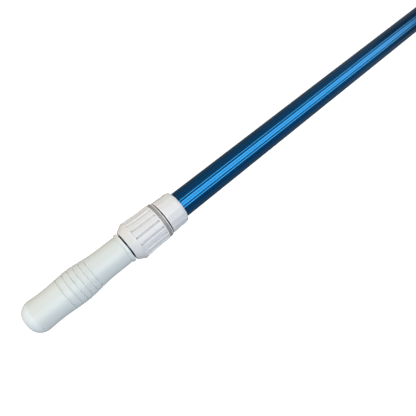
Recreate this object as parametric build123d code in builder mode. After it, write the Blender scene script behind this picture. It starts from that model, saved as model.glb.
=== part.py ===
"""Telescopic pool pole: two aluminium tubes, a hand grip and an external twist lock.

The pole lies along X. The origin is on the axis at the mouth of the tool socket, +X points out of the
socket and the hand grip is at the far -X end. The pole is modelled pushed right in, with its lock free.
"""
import os
from math import cos, radians, sin, sqrt, tan

from build123d import *

# ---------------------------------------------------------------- driving dimensions (mm)
closed_length = 1219.2          # socket mouth to the end of the grip, pole pushed in (4 ft)

# outer tube: ribbed extrusion, 1 1/4 in over the ribs
outer_radius = 15.875
outer_wall = 1.25
rib_count = 24
rib_depth = 0.26                # height of a rib's crest over the line where two ribs meet
rib_phase = 92.5                # angle of one line between ribs
socket_depth = 110.0            # length reamed for a tool's handle
socket_ream = 0.175             # added to the bore's radius along the socket
clip_hole_radius = 3.25         # holes for the buttons of a tool's spring clip
clip_hole_inset = 38.0          # from the mouth to the holes' centre

# inner tube
tube_gap = 0.625                # radial, inner tube to the outer tube's bore
inner_wall = 1.15

# hand grip; its walls are counted from the inner tube's surface
grip_length = 107.0
grip_lip_wall = 4.0
grip_lip_width = 2.8
grip_lip_round = 0.8
grip_lip_slope = 2.0            # length over which the lip rises from the neck
grip_neck_wall = 2.75
grip_neck_length = 32.0
grip_swell_wall = 5.25          # fullest part
grip_swell_place = 60.8         # from the open end
grip_waist_wall = 3.5           # slimmest part behind the swell
grip_waist_place = 17.0         # from the end cap
grip_end_wall = 3.95            # where the grip meets its end cap
ring_groove_count = 5           # evenly spaced grooves across the swell, and one more behind them
ring_groove_pitch = 6.1
ring_groove_first = 42.1        # from the open end to the first groove
last_band_width = 7.4           # from the fifth groove to the sixth
ring_groove_width = 0.9
ring_groove_depth = 0.45

# grip end cap
cap_length = 10.8
cap_rounding = 9.95             # radial height of the rounded edge, which leaves a flat end face
cap_shoulder_place = 0.4        # share of the cap's length at the point that shapes the rounding
cap_shoulder_drop = 2.85        # radial, from the grip's end to that point
cap_joint_step = 0.15           # radial step that makes the crease between cap and grip
cap_spigot_length = 24.0
cap_spigot_wall = 2.0
cap_face_wall = 4.0
cap_vent_radius = 0.7
cap_vent_angle = 135.0

# twist lock nut
lock_gap = 1.7                  # grip to nut, pole pushed in and lock free
nut_nose_wall = 4.4             # radial, inner tube to the edge of the nut's front face
nut_cone_length = 8.7
nut_rim_height = 1.6            # this and the pads are counted from the flutes' floor
nut_rim_width = 1.2
nut_pad_heights = (1.4, 0.8, 0.5)     # at the rim, a third of the way along, at the far end
nut_wall = 2.4                  # thread root to the flutes' floor
flute_length = 31.3
flute_count = 16
flute_width = 2.8
flute_phase = 90.0              # angle of one flute
nut_end_lip = 1.2               # plain rim behind the flutes
nut_flange_width = 0.7
nut_flange_height = 0.7         # this and the rubber ring are counted from the ring's groove
buffer_width = 4.0              # rubber ring in the groove between the end lip and the flange
buffer_height = 1.25
buffer_groove_wall = 1.1        # thread root to the floor of the groove

# thread of nut and collar
thread_lead = 3.0
thread_depth = 1.0
thread_crest_width = 0.7
neck_wall = 4.2                 # inner tube to the root of the collar's thread
neck_thread_start = 2.8         # from the neck's front end
neck_thread_turns = 7
nut_thread_turns = 5
nut_thread_lag = 1.5            # turns by which the nut's thread starts behind; the half keeps them in step
lock_turn = 180.0               # degrees from free to locked

# collar
slot_width = 1.7                # free gap between nut and collar
collar_length = 22.4            # the faceted part; its walls are counted from the outer tube
collar_front_wall = 5.025       # to the edges between facets
collar_rear_wall = 4.525
collar_end_wall = 3.325
collar_end_chamfer = 3.2
collar_front_chamfer = 0.4
collar_facets = 16
facet_phase = 95.0              # angle of one edge between facets
collar_tube_lap = 19.0          # length of outer tube inside the collar
neck_land = 6.0                 # length of each land that guides the inner tube
neck_relief = 0.6               # radial relief between the lands
seal_radius = 0.75              # section of the rubber seal on the neck
seal_inset = 0.85               # from the faceted part to the seal's centre
seal_bite = 0.5                 # depth of the seal's groove

# collet, thrust washer and wiper in the nut's nose
nose_wall = 4.0
thrust_washer_width = 0.9
collet_flange_width = 2.5
collet_flange_wall = 3.2        # this and the barrel are counted from the inner tube's surface
collet_flange_gap = 0.4         # flange to the neck's front end when locked
collet_barrel_length = 3.7
collet_barrel_wall = 2.2
collet_cone_length = 6.0
collet_cone_angle = 12.0
collet_slot_pairs = 3
collet_slot_width = 1.2
collet_web = 0.7                # solid barrel left between flange and slots
wiper_width = 2.0
wiper_inset = 1.0               # from the nut's front face
wiper_depth = 1.4

# guide plug and its wear rings
plug_head_length = 48.0
plug_spigot_length = 32.0
plug_wall = 3.0
plug_nose_chamfer = 1.5
guide_ring_width = 6.0
guide_ring_wall = 1.9
guide_ring_inset = 2.5          # from each end of the plug's head to a ring groove
guide_ring_split = 2.0          # gap in each ring
plug_end_clearance = 5.0        # from the plug to the bottom of the socket

# rivets
collar_rivet_radius = 1.6
collar_rivet_head_radius = 2.9
collar_rivet_head_height = 0.9
collar_rivet_sink = 0.35        # head below the edges of the facets
collar_rivet_inset = 10.0       # from the collar's open end
plug_rivet_radius = 1.6
plug_rivet_inset = 16.0         # from the inner tube's end

# ---------------------------------------------------------------- fits (mm)
running_fit = 0.08              # radial, pieces that slide or turn on each other
seat_fit = 0.05                 # radial, pieces that are fixed to each other
axial_play = 0.12               # along the pole, pieces that turn on each other
free_gap = 0.3                  # radial, pieces that pass without touching
thread_clearance = 0.3          # radial, crest to root
locked_gap = 0.2                # along the pole, nut to collar and collet to its seat when locked

# ---------------------------------------------------------------- places along X
x_grip_end = -closed_length
x_cap = x_grip_end + cap_length                    # joint of cap and grip
x_grip = x_cap + grip_length                       # open end of the grip
x_nose = x_grip + lock_gap                         # front face of the nut
x_rim = x_nose + nut_cone_length
x_flutes = x_rim + nut_rim_width
x_flutes_end = x_flutes + flute_length
x_buffer = x_flutes_end + nut_end_lip
x_buffer_end = x_buffer + buffer_width
x_nut_end = x_buffer_end + nut_flange_width
x_collar = x_nut_end + slot_width                  # front face of the faceted part
x_collar_end = x_collar + collar_length
x_outer = x_collar_end - collar_tube_lap           # near end of the outer tube
x_seal = x_collar - seal_inset
x_washer = x_nose + nose_wall
x_collet = x_washer + thrust_washer_width + axial_play
x_barrel = x_collet + collet_flange_width
x_cone = x_barrel + collet_barrel_length
x_collet_end = x_cone + collet_cone_length
lock_travel = thread_lead * lock_turn / 360.0
x_neck = x_barrel + lock_travel + collet_flange_gap    # front end of the collar's threaded neck
x_socket = -socket_depth
x_plug_end = x_socket - plug_end_clearance
x_inner_end = x_plug_end - plug_head_length        # hidden end of the inner tube

# ---------------------------------------------------------------- radii that follow
outer_bore = outer_radius - outer_wall
socket_radius = outer_bore + socket_ream
inner_radius = outer_bore - tube_gap
inner_bore = inner_radius - inner_wall
guide_bore = inner_radius + running_fit
passing_bore = inner_radius + free_gap
neck_radius = inner_radius + neck_wall             # root of the collar's thread
nut_thread_root = neck_radius + thread_depth + thread_clearance
flute_floor_radius = nut_thread_root + nut_wall
nut_rim_radius = flute_floor_radius + nut_rim_height
buffer_floor_radius = nut_thread_root + buffer_groove_wall
buffer_radius = buffer_floor_radius + buffer_height
collet_flange_radius = inner_radius + collet_flange_wall
collet_barrel_radius = inner_radius + collet_barrel_wall
collar_front_radius = outer_radius + collar_front_wall
collar_rear_radius = outer_radius + collar_rear_wall
grip_end_radius = inner_radius + grip_end_wall


def polar_point(radius, angle):
    """Point in a plane across the pole. Angles are in degrees from +Y towards +Z throughout."""
    return (radius * cos(radians(angle)), radius * sin(radians(angle)))


def turned(outline, mode=Mode.ADD):
    """Revolve a closed (x, radius) outline about the pole's axis, into the part that is open."""
    with BuildSketch(Plane.XZ) as section:
        with BuildLine():
            Polyline(*outline, close=True)
        make_face()
    revolve(section.sketch, axis=Axis.X, mode=mode)


def ring(x_low, x_high, bore, radius, mode=Mode.ADD):
    """Plain ring or tube between two places along the pole."""
    turned([(x_low, bore), (x_high, bore), (x_high, radius), (x_low, radius)], mode)


def cross_hole(x_place, radius, plane):
    """Round hole right across the pole, at right angles to the plane."""
    with BuildSketch(plane) as hole:
        with Locations((x_place, 0)):
            Circle(radius)
    extrude(hole.sketch, amount=2 * outer_radius, both=True, mode=Mode.SUBTRACT)


def thread_ridge(x_start, turns, root, height):
    """Right-hand helical ridge on the open part. A negative height points it inwards, as in a nut."""
    root_width = thread_lead / 2
    foot = 0.1 if height > 0 else -0.1             # keeps the ridge's foot inside the wall
    with BuildLine(mode=Mode.PRIVATE) as coil:
        Helix(thread_lead, turns * thread_lead, root, center=(x_start, 0, 0), direction=(1, 0, 0))
    start = coil.line @ 0
    outward = Vector(0, start.Y, start.Z).normalized()
    with BuildSketch(Plane(start, x_dir=(1, 0, 0), z_dir=Vector(1, 0, 0).cross(outward))) as section:
        with BuildLine():
            Polyline(
                (-root_width / 2, -foot),
                (root_width / 2, -foot),
                (thread_crest_width / 2, height),
                (-thread_crest_width / 2, height),
                close=True,
            )
        make_face()
    sweep(section.sketch, path=coil.line, is_frenet=True)


def height_on(curve, x_place):
    """Height of a left-to-right curve of a sketch over one place along X, found by halving."""
    low, high = 0.0, 1.0
    for _ in range(40):
        middle = (low + high) / 2
        if (curve @ middle).X < x_place:
            low = middle
        else:
            high = middle
    return (curve @ low).Y


# ---------------------------------------------------------------- outer tube
rib_pitch = 360.0 / rib_count
rib_root_radius = outer_radius - rib_depth

with BuildPart() as outer_tube:
    with BuildSketch(Plane.YZ.offset(x_outer)):
        with BuildLine():
            for rib in range(rib_count):
                angle = rib_phase + rib * rib_pitch
                ThreePointArc(
                    polar_point(rib_root_radius, angle),
                    polar_point(outer_radius, angle + rib_pitch / 2),
                    polar_point(rib_root_radius, angle + rib_pitch),
                )
        make_face()
        Circle(outer_bore, mode=Mode.SUBTRACT)
    extrude(amount=-x_outer)
    with BuildSketch(Plane.YZ.offset(x_socket)):
        Circle(socket_radius)
    extrude(amount=socket_depth, mode=Mode.SUBTRACT)
    cross_hole(-clip_hole_inset, clip_hole_radius, Plane.XY)
    cross_hole(x_collar_end - collar_rivet_inset, collar_rivet_radius, Plane.XZ)

# ---------------------------------------------------------------- inner tube
with BuildPart() as inner_tube:
    ring(x_cap, x_inner_end, inner_bore, inner_radius)
    cross_hole(x_inner_end - plug_rivet_inset, plug_rivet_radius, Plane.XZ)

# ---------------------------------------------------------------- hand grip
x_lip = x_grip - grip_lip_width
grip_bore = inner_radius + seat_fit
grip_lip_radius = inner_radius + grip_lip_wall
grip_neck_radius = inner_radius + grip_neck_wall

with BuildPart() as grip:
    with BuildSketch(Plane.XZ):
        with BuildLine():
            outside = Spline(
                (x_cap, grip_end_radius),
                (x_cap + grip_waist_place, inner_radius + grip_waist_wall),
                (x_grip - grip_swell_place, inner_radius + grip_swell_wall),
                (x_grip - grip_neck_length, grip_neck_radius + seat_fit),
                (x_lip - grip_lip_slope, grip_neck_radius),
            )
            Polyline(
                outside @ 1,
                (x_lip, grip_lip_radius),
                (x_grip, grip_lip_radius),
                (x_grip, grip_bore),
                (x_cap, grip_bore),
                outside @ 0,
            )
        make_face()
    revolve(axis=Axis.X)
    lip_edges = [edge for edge in grip.edges().filter_by(GeomType.CIRCLE)
                 if abs(edge.radius - grip_lip_radius) < seat_fit]
    fillet(lip_edges, grip_lip_round)
    groove_places = [x_grip - ring_groove_first - ring_groove_pitch * n for n in range(ring_groove_count)]
    groove_places.append(groove_places[-1] - last_band_width)
    for x_groove in groove_places:
        surface = height_on(outside, x_groove)
        x_low = x_groove - ring_groove_width / 2
        x_high = x_groove + ring_groove_width / 2
        turned(
            [
                (x_low, surface + 1.0),
                (x_low, surface - ring_groove_depth),
                (x_groove, surface - ring_groove_depth),
                (x_high, surface),
                (x_high, surface + 1.0),
            ],
            Mode.SUBTRACT,
        )

# ---------------------------------------------------------------- grip end cap
cap_joint_radius = grip_end_radius - cap_joint_step
cap_face_radius = grip_end_radius - cap_rounding
cap_spigot_radius = inner_bore - seat_fit
cap_cavity = cap_spigot_radius - cap_spigot_wall
vent_y, vent_z = polar_point(grip_end_radius, cap_vent_angle)

with BuildPart() as grip_end_cap:
    with BuildSketch(Plane.XZ):
        with BuildLine():
            ThreePointArc(
                (x_grip_end, cap_face_radius),
                (x_grip_end + cap_shoulder_place * cap_length, grip_end_radius - cap_shoulder_drop),
                (x_cap, cap_joint_radius),
            )
            Polyline(
                (x_cap, cap_joint_radius),
                (x_cap, cap_spigot_radius),
                (x_cap + cap_spigot_length, cap_spigot_radius),
                (x_cap + cap_spigot_length, cap_cavity),
                (x_cap, cap_cavity),
                (x_grip_end + cap_face_wall, cap_face_radius),
                (x_grip_end + cap_face_wall, 0),
                (x_grip_end, 0),
                (x_grip_end, cap_face_radius),
            )
        make_face()
    revolve(axis=Axis.X)
    with BuildSketch(Plane((x_cap, 0, 0), x_dir=(1, 0, 0), z_dir=(0, vent_y, vent_z))):
        Circle(cap_vent_radius)
    extrude(amount=2 * grip_end_radius, mode=Mode.SUBTRACT)

# ---------------------------------------------------------------- lock nut
pad_rim, pad_third, pad_end = [flute_floor_radius + height for height in nut_pad_heights]
x_nut_thread = x_neck + neck_thread_start + nut_thread_lag * thread_lead
x_nut_cavity = x_neck - lock_travel - free_gap     # the nut opens out to its thread's root here
collet_room = collet_flange_radius + free_gap

with BuildPart() as lock_nut:
    with BuildSketch(Plane.XZ):
        with BuildLine():
            Polyline(
                (x_nose, passing_bore),
                (x_nose, inner_radius + nut_nose_wall),
                (x_rim, nut_rim_radius),
                (x_flutes, nut_rim_radius),
                (x_flutes, pad_rim),
            )
            ThreePointArc(
                (x_flutes, pad_rim),
                (x_flutes + flute_length / 3, pad_third),
                (x_buffer, pad_end),
            )
            Polyline(
                (x_buffer, pad_end),
                (x_buffer, buffer_floor_radius),
                (x_buffer_end, buffer_floor_radius),
                (x_buffer_end, buffer_floor_radius + nut_flange_height),
                (x_nut_end, buffer_floor_radius + nut_flange_height),
                (x_nut_end, nut_thread_root),
                (x_nut_cavity, nut_thread_root),
                (x_nut_cavity, collet_room),
                (x_washer, collet_room),
                (x_washer, passing_bore),
                (x_nose, passing_bore),
            )
        make_face()
    revolve(axis=Axis.X)
    with BuildSketch(Plane.YZ.offset(x_flutes)):
        with PolarLocations(flute_floor_radius + nut_rim_radius / 2, flute_count, start_angle=flute_phase):
            Rectangle(nut_rim_radius, flute_width)
    extrude(amount=flute_length, mode=Mode.SUBTRACT)
    x_wiper = x_nose + wiper_inset
    ring(x_wiper, x_wiper + wiper_width, inner_radius, passing_bore + wiper_depth, Mode.SUBTRACT)
    thread_ridge(x_nut_thread, nut_thread_turns, nut_thread_root, -thread_depth)

# ---------------------------------------------------------------- rings carried by the nut
with BuildPart() as buffer_ring:
    ring(x_buffer, x_buffer_end, buffer_floor_radius + seat_fit, buffer_radius)
    ring_edges = [edge for edge in buffer_ring.edges().filter_by(GeomType.CIRCLE)
                  if abs(edge.radius - buffer_radius) < seat_fit]
    fillet(ring_edges, buffer_width / 8)

with BuildPart() as wiper_ring:
    turned([
        (x_wiper + seat_fit, passing_bore + wiper_depth - seat_fit),
        (x_wiper + seat_fit, passing_bore),
        (x_wiper + wiper_width / 2, guide_bore),
        (x_wiper + wiper_width - seat_fit, passing_bore),
        (x_wiper + wiper_width - seat_fit, passing_bore + wiper_depth - seat_fit),
    ])

with BuildPart() as thrust_washer:
    ring(x_washer, x_washer + thrust_washer_width, passing_bore, collet_flange_radius)

# ---------------------------------------------------------------- collet
collet_slope = tan(radians(collet_cone_angle))
collet_tip_radius = collet_barrel_radius - collet_cone_length * collet_slope
x_slots = x_barrel + collet_web

with BuildPart() as collet:
    turned([
        (x_collet, guide_bore),
        (x_collet, collet_flange_radius),
        (x_barrel, collet_flange_radius),
        (x_barrel, collet_barrel_radius),
        (x_cone, collet_barrel_radius),
        (x_collet_end, collet_tip_radius),
        (x_collet_end, guide_bore),
    ])
    with BuildSketch(Plane.YZ.offset(x_slots)):
        with PolarLocations(0, collet_slot_pairs, angular_range=180):
            Rectangle(3 * collet_flange_radius, collet_slot_width)
    extrude(amount=x_collet_end - x_slots + free_gap, mode=Mode.SUBTRACT)

# ---------------------------------------------------------------- collar with its threaded neck
collar_taper = (collar_front_radius - collar_rear_radius) / collar_length
barrel_room = collet_barrel_radius + free_gap
x_seat = x_cone + lock_travel + locked_gap         # here the seat is as wide as the collet's barrel
x_seat_mouth = x_seat - free_gap / collet_slope
x_land = x_seat + (collet_barrel_radius - guide_bore) / collet_slope
seal_groove_radius = neck_radius - seal_bite
head_floor = collar_rear_radius - collar_rivet_sink - collar_rivet_head_height

with BuildPart() as lock_collar:
    with BuildSketch(Plane.YZ.offset(x_collar)):
        RegularPolygon(collar_front_radius, collar_facets, rotation=facet_phase)
    with BuildSketch(Plane.YZ.offset(x_collar_end)):
        RegularPolygon(collar_rear_radius, collar_facets, rotation=facet_phase)
    loft()
    turned(
        [
            (x_collar, 0),
            (x_collar, collar_front_radius - collar_front_chamfer),
            (x_collar + collar_front_chamfer, collar_front_radius),
            (x_collar_end - collar_end_chamfer, collar_rear_radius + collar_taper * collar_end_chamfer),
            (x_collar_end, outer_radius + collar_end_wall),
            (x_collar_end, 0),
        ],
        Mode.INTERSECT,
    )
    ring(x_neck, x_collar, guide_bore, neck_radius)
    thread_ridge(x_neck + neck_thread_start, neck_thread_turns, neck_radius, thread_depth)
    turned(
        [
            (x_neck - free_gap, 0),
            (x_neck - free_gap, barrel_room),
            (x_seat_mouth, barrel_room),
            (x_land, guide_bore),
            (x_land + neck_land, guide_bore),
            (x_land + neck_land, guide_bore + neck_relief),
            (x_outer - neck_land, guide_bore + neck_relief),
            (x_outer - neck_land, guide_bore),
            (x_outer, guide_bore),
            (x_outer, outer_radius + seat_fit),
            (x_collar_end + free_gap, outer_radius + seat_fit),
            (x_collar_end + free_gap, 0),
        ],
        Mode.SUBTRACT,
    )
    ring(
        x_seal - seal_radius,
        x_seal + seal_radius,
        seal_groove_radius,
        neck_radius + free_gap,
        Mode.SUBTRACT,
    )
    cross_hole(x_collar_end - collar_rivet_inset, collar_rivet_radius, Plane.XZ)
    for side in (-1, 1):
        with BuildSketch(Plane.XZ.offset(side * head_floor)):
            with Locations((x_collar_end - collar_rivet_inset, 0)):
                Circle(collar_rivet_head_radius + seat_fit)
        extrude(amount=side * collar_front_radius, mode=Mode.SUBTRACT)

with BuildPart() as neck_seal:
    with BuildSketch(Plane.XZ):
        with Locations((x_seal, seal_groove_radius + seat_fit + seal_radius)):
            Circle(seal_radius - seat_fit)
    revolve(axis=Axis.X)

# ---------------------------------------------------------------- guide plug and wear rings
plug_spigot_radius = inner_bore - seat_fit
plug_bore = plug_spigot_radius - plug_wall
guide_ring_radius = outer_bore - running_fit
guide_ring_bore = guide_ring_radius - guide_ring_wall
ring_places = (
    x_inner_end + guide_ring_inset,
    x_plug_end - guide_ring_inset - guide_ring_width,
)

with BuildPart() as guide_plug:
    turned([
        (x_inner_end - plug_spigot_length, plug_bore),
        (x_inner_end - plug_spigot_length, plug_spigot_radius),
        (x_inner_end, plug_spigot_radius),
        (x_inner_end, inner_radius),
        (x_plug_end - plug_nose_chamfer, inner_radius),
        (x_plug_end, inner_radius - plug_nose_chamfer),
        (x_plug_end, plug_bore),
    ])
    for x_ring in ring_places:
        ring(
            x_ring - axial_play,
            x_ring + guide_ring_width + axial_play,
            guide_ring_bore - running_fit,
            inner_radius + free_gap,
            Mode.SUBTRACT,
        )
    cross_hole(x_inner_end - plug_rivet_inset, plug_rivet_radius, Plane.XZ)

with BuildPart() as guide_rings:
    for x_ring in ring_places:
        ring(x_ring, x_ring + guide_ring_width, guide_ring_bore, guide_ring_radius)
        with BuildSketch(Plane.XY):
            with Locations((x_ring + guide_ring_width / 2, 0)):
                Rectangle(2 * guide_ring_width, guide_ring_split)
        extrude(amount=outer_radius, mode=Mode.SUBTRACT)

# ---------------------------------------------------------------- rivets
collar_shank = collar_rivet_radius - seat_fit
plug_shank = plug_rivet_radius - seat_fit
plug_rivet_top = sqrt(inner_radius**2 - plug_rivet_radius**2) - seat_fit

with BuildPart() as collar_rivets:
    for side in (-1, 1):
        with BuildSketch(Plane.XZ.offset(side * (outer_bore + seat_fit))):
            with Locations((x_collar_end - collar_rivet_inset, 0)):
                Circle(collar_shank)
        extrude(amount=side * (head_floor - outer_bore))
        with BuildSketch(Plane.XZ.offset(side * (head_floor + seat_fit))):
            with Locations((x_collar_end - collar_rivet_inset, 0)):
                Circle(collar_rivet_head_radius)
        extrude(amount=side * (collar_rivet_head_height - seat_fit))
    head_edges = [edge for edge in collar_rivets.edges().filter_by(GeomType.CIRCLE)
                  if abs(edge.center().Y) > head_floor + collar_rivet_head_height / 2]
    fillet(head_edges, collar_rivet_head_height / 3)

with BuildPart() as plug_rivets:
    for side in (-1, 1):
        with BuildSketch(Plane.XZ.offset(side * plug_bore)):
            with Locations((x_inner_end - plug_rivet_inset, 0)):
                Circle(plug_shank)
        extrude(amount=side * (plug_rivet_top - plug_bore))

# ---------------------------------------------------------------- write one STEP file per piece
pieces = {
    "outer_tube": outer_tube,
    "inner_tube": inner_tube,
    "grip": grip,
    "grip_end_cap": grip_end_cap,
    "lock_nut": lock_nut,
    "buffer_ring": buffer_ring,
    "wiper_ring": wiper_ring,
    "thrust_washer": thrust_washer,
    "collet": collet,
    "lock_collar": lock_collar,
    "neck_seal": neck_seal,
    "guide_plug": guide_plug,
    "guide_rings": guide_rings,
    "collar_rivets": collar_rivets,
    "plug_rivets": plug_rivets,
}

os.makedirs("parts", exist_ok=True)
for name, piece in pieces.items():
    piece.part.label = name
    export_step(piece.part, f"parts/{name}.step")
    print(f"{name}: {len(piece.part.solids())} solid(s), {piece.part.volume:.0f} mm3")

reach = (x_inner_end + guide_ring_inset) - x_outer - 0.5
print(f"travel of the inner tube, guide ring to collar with 0.5 mm to spare: {reach:.1f} mm")
print(f"travel of the nut and collet: {lock_travel:.3f} mm over {lock_turn:.0f} degrees")
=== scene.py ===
# %% [markdown]
# # A telescopic pool pole, seen from its handle end
#
# The pole is two aluminium tubes, one sliding inside the other. A white plastic nut screws onto a
# white collar and squeezes a split ring, the collet, which grips the inner tube. The lesson dresses a
# finished mechanical model: hidden pieces stay as they are and get a finish, and the pieces that a
# hand touches are made again with softer edges. Everything is in metres, the pole lies along X, and
# the handle is at the low end.

# %% Load the mechanical model
from math import atan2, cos, hypot, pi, radians, sin, sqrt, tan
import bmesh
import bpy
from mathutils import Matrix, Quaternion, Vector


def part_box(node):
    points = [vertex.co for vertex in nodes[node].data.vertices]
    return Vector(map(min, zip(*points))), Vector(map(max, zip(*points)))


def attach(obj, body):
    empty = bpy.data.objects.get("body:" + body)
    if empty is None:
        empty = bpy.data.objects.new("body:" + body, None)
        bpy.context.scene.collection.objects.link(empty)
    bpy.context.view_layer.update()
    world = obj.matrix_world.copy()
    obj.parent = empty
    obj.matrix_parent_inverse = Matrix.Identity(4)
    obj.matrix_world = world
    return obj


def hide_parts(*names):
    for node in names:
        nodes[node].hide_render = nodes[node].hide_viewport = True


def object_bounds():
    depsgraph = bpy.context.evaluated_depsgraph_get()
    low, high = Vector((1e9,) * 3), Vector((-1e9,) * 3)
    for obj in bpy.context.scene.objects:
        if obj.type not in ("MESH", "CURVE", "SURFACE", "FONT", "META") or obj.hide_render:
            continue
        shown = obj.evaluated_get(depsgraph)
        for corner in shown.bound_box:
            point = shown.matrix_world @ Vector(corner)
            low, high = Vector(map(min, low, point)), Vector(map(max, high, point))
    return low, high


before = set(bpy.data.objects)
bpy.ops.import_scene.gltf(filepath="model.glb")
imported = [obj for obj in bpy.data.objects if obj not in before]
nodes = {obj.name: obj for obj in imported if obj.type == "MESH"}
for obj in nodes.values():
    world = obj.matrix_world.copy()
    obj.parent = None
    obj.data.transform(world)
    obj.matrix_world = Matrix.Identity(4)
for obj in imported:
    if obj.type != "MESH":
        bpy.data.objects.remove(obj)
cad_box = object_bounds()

print("pieces in the model:", ", ".join(sorted(nodes)))

# %% [markdown]
# ## Places along the pole
#
# The pieces have to fit the model, so their places are read from the model's own boxes and are only
# then turned into millimetres, which are easier to think in. Reading them is better than typing them
# again, because a change in the model then moves the looks too.

# %% Read the places from the model
MM = 0.001


def span(node):
    """First and last place of a model's piece along the pole, in millimetres."""
    low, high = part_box(node)
    return low.x / MM, high.x / MM


flange_extra = 0.15             # taken from the grey ring and given to the nut's flange
x_grip_start, x_grip_end = span("grip")
x_cap_end, x_spigot_end = span("grip_end_cap")
x_nose, x_nut_end = span("lock_nut")
x_buffer, x_buffer_end = span("buffer_ring")
x_buffer_end -= flange_extra
x_neck, x_collar_end = span("lock_collar")
x_tube, x_mouth = span("outer_tube")
x_collet_end = span("collet")[1]
x_seal = sum(span("neck_seal")) / 2

inner_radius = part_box("inner_tube")[1].z / MM
print(f"grip {x_grip_end - x_grip_start:.1f} mm, nut {x_nut_end - x_nose:.1f} mm, "
      f"inner tube {2 * inner_radius:.1f} mm across")

# %% [markdown]
# ## The camera
#
# The camera looks down at the lock from about 40 cm above, with the pole running to the upper
# right corner. It could be turned with three Euler angles, but aiming it at a point and then rolling
# it about its own line of sight is how a hand does it, and each number can be changed alone.

# %% Place the camera
camera_place = Vector((-1.1297, 0.0, 0.3874))
camera_target = Vector((-1.0003, -0.0234, 0.0))
camera_roll = radians(61.58)

camera_data = bpy.data.cameras.new("camera")
camera_data.lens = 30.1
camera_data.sensor_width = 36.0
camera_data.clip_start = 0.01
camera = bpy.data.objects.new("camera", camera_data)
camera.location = camera_place
aim = (camera_target - camera_place).to_track_quat("-Z", "Y")
camera.rotation_mode = "QUATERNION"
camera.rotation_quaternion = aim @ Quaternion((0.0, 0.0, 1.0), camera_roll)
bpy.context.scene.collection.objects.link(camera)
bpy.context.scene.camera = camera
bpy.context.scene.view_settings.view_transform = "Standard"
print(f"camera {camera_place.z * 1000:.0f} mm above the pole, lens {camera_data.lens} mm")

# %% [markdown]
# ## The light
#
# Anodised metal has hardly a colour of its own in the dark: it shows what it reflects. One long
# softbox hangs straight above the pole, so every rib of the tube draws its own bright line, and two
# dim cards along the pole's sides give the dark blue something to mirror. White plastic needs the
# opposite, a light that comes from one side and shades every groove. A small lamp beyond the handle
# does that, with a warm fill low on the same side, and both are hidden from reflections so that the
# metal stays deep blue. One lamp for everything would be simpler, but it would either kill the blue
# or flatten the white.

# %% Hang the lights


def softbox(name, place, target, size, radiance, colour, reflected=True):
    """Rectangular light that points at a target. Its radiance doesn't change with its size."""
    light = bpy.data.lights.new(name, "AREA")
    light.shape = "RECTANGLE"
    light.size, light.size_y = size
    light.energy = radiance * pi * size[0] * size[1]
    light.color = colour
    lamp = bpy.data.objects.new(name, light)
    lamp.location = place
    lamp.rotation_euler = (Vector(target) - Vector(place)).to_track_quat("-Z", "Y").to_euler()
    lamp.visible_camera = False
    lamp.visible_glossy = reflected
    bpy.context.scene.collection.objects.link(lamp)
    print(f"{name}: {light.energy:.1f} W")
    return lamp


lock_place = (-1.08, 0.0, 0.0)
pole_middle = (-0.6, 0.0, 0.0)
overhead = softbox(
    "overhead softbox", (-0.7, -0.28, 1.5), (-0.7, -0.28, 0.0), (5.0, 1.36), 2.15, (1.0, 1.0, 1.0)
)
overhead.rotation_euler = (0.0, 0.0, 0.0)      # long side along the pole
softbox("handle light", (-1.9, 0.9, 0.7), lock_place, (0.45, 0.4), 15.0, (1.0, 0.90, 0.72), False)
softbox("warm fill", (-1.1, 1.3, 0.25), lock_place, (1.6, 0.7), 1.1, (1.0, 0.62, 0.22), False)
softbox("side card", (-0.6, 1.2, 0.8), pole_middle, (3.6, 0.9), 0.24, (0.70, 0.90, 1.0))
softbox("cool fill", (-0.6, -1.3, 0.42), pole_middle, (3.6, 0.8), 0.20, (0.30, 0.65, 1.0))

# %% [markdown]
# ## The room and the floor
#
# The floor is plain white paper. A mirror-like tube would reflect that paper and turn grey, so in a
# studio black card would hide the paper from it. Here the Light Path node does the same work: the
# camera sees white paper, while reflections see a darker room.

# %% Make the room and the floor
floor_gap = 0.0004              # keeps the pole's lowest faces clear of the paper
floor_height = cad_box[0].z - floor_gap
floor_reach = 8.0


def new_material(name):
    """Empty node material with its output node."""
    material = bpy.data.materials.new(name)
    material.use_nodes = True
    material.node_tree.nodes.clear()
    output = material.node_tree.nodes.new("ShaderNodeOutputMaterial")
    return material, material.node_tree, output


def add_node(tree, kind, **settings):
    """New node. A setting that names an input socket fills it, any other sets a property."""
    node = tree.nodes.new(kind)
    for name, value in settings.items():
        socket = node.inputs.get(name.replace("_", " ").capitalize()) or node.inputs.get(name)
        if socket is not None and not hasattr(node, name):
            socket.default_value = value
        else:
            setattr(node, name, value)
    return node


def paper(tree, colour, glow):
    """Matt paper that also glows a little, as paper lit from below does."""
    diffuse = add_node(tree, "ShaderNodeBsdfDiffuse", Color=colour)
    emission = add_node(tree, "ShaderNodeEmission", Color=(1.0, 1.0, 1.0, 1.0), Strength=glow)
    both = tree.nodes.new("ShaderNodeAddShader")
    tree.links.new(diffuse.outputs[0], both.inputs[0])
    tree.links.new(emission.outputs[0], both.inputs[1])
    return both.outputs[0]


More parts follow.
